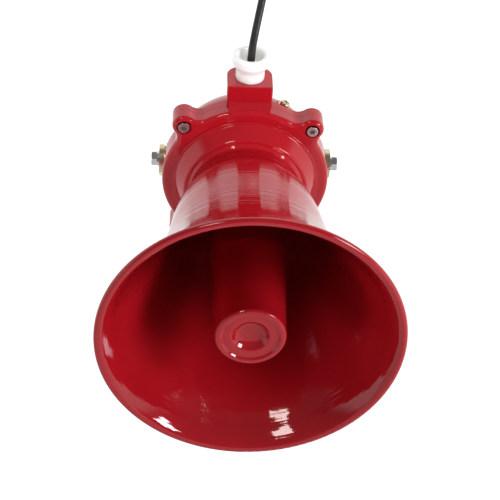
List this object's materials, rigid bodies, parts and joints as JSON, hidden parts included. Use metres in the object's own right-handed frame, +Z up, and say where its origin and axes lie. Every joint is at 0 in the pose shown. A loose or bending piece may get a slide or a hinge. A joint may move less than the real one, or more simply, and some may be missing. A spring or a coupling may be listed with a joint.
{
  "type": "alarm siren",
  "caption": "Wall-mounted folded-horn alarm siren with driver housing, tilting U bracket and cable gland.",
  "frame": {"origin": "middle of the bracket's back face, between its two fixing holes, on the wall", "axes": "+Y into the wall, +Z up, +X to the right seen from in front; the siren hangs at -Y"},
  "size_m": [0.21, 0.3243, 0.3572],
  "materials": {
    "red_enamel": "high-gloss red baked enamel over cast and spun aluminium",
    "yellow_zinc": "yellow-passivated zinc plating",
    "bright_zinc": "bright zinc plating",
    "stainless": "stainless steel, lightly brushed",
    "fibre": "vulcanised fibre, matte",
    "rubber": "black rubber, matte",
    "sintered_bronze": "sintered bronze, grainy",
    "bare_aluminium": "machined aluminium",
    "phenolic": "brown phenolic laminate",
    "amber_film": "amber polyimide film",
    "copper": "enamelled copper wire",
    "ferrite": "dark ferrite, fine grain",
    "brass": "turned brass",
    "board_green": "green solder mask",
    "black_plastic": "black moulded plastic",
    "black_anodised": "black anodised aluminium",
    "terminal_green": "green moulded plastic",
    "white_nylon": "white nylon, satin",
    "core_insulation": "coloured insulation",
    "black_pvc": "black PVC sheath, satin"
  },
  "bodies": {
    "bracket": {"wall_bracket": "yellow_zinc"},
    "siren": {"board_capacitors": "black_plastic", "board_screws": "bright_zinc", "board_standoffs": "brass", "cover_screws": "stainless", "cover_spring_washers": "stainless", "diaphragm_clamp_ring": "phenolic", "diaphragm_surround": "rubber", "driver_front_plate": "bare_aluminium", "driver_leads": "core_insulation", "driver_magnet": "ferrite", "driver_screws": "bright_zinc", "driver_tags": "brass", "driver_top_plate": "bright_zinc", "driver_yoke": "bright_zinc", "earth_screw": "yellow_zinc", "earth_washers": "yellow_zinc", "flame_arrestor": "sintered_bronze", "front_cover": "red_enamel", "gland_body": "white_nylon", "gland_seal": "rubber", "heatsink": "black_anodised", "horn_bell": "red_enamel", "horn_screws": "stainless", "housing_gasket": "rubber", "lead_cable": "black_pvc", "lead_fitting": "white_nylon", "lead_fitting_nut": "bright_zinc", "magnet_screws": "bright_zinc", "pivot_bolts": "bright_zinc", "pivot_flat_washers": "bright_zinc", "pivot_friction_washers": "fibre", "pivot_spring_washers": "bright_zinc", "rear_housing": "red_enamel", "reflector_cup": "red_enamel", "reflector_spider": "red_enamel", "siren_board": "board_green", "supply_cores": "core_insulation", "terminal_block": "terminal_green", "terminal_screws": "bright_zinc", "terminal_strip": "phenolic", "throat_tube": "red_enamel", "transformer_core": "ferrite", "transformer_winding": "copper", "transistor": "black_plastic"},
    "diaphragm": {"diaphragm_dome": "amber_film", "voice_coil": "copper"}
  },
  "joints": [
    {"name": "tilt", "type": "hinge", "parent": "bracket", "child": "siren", "pos_m": [0, -0.097, 0], "axis": [1, 0, 0], "range_deg": [-53, 40]},
    {"name": "diaphragm_travel", "type": "slide", "parent": "siren", "child": "diaphragm", "axis": [0, -0.788, -0.6157], "range_m": [-0.0004, 0.0004], "stiffness_N_per_m": 4000}
  ]
}
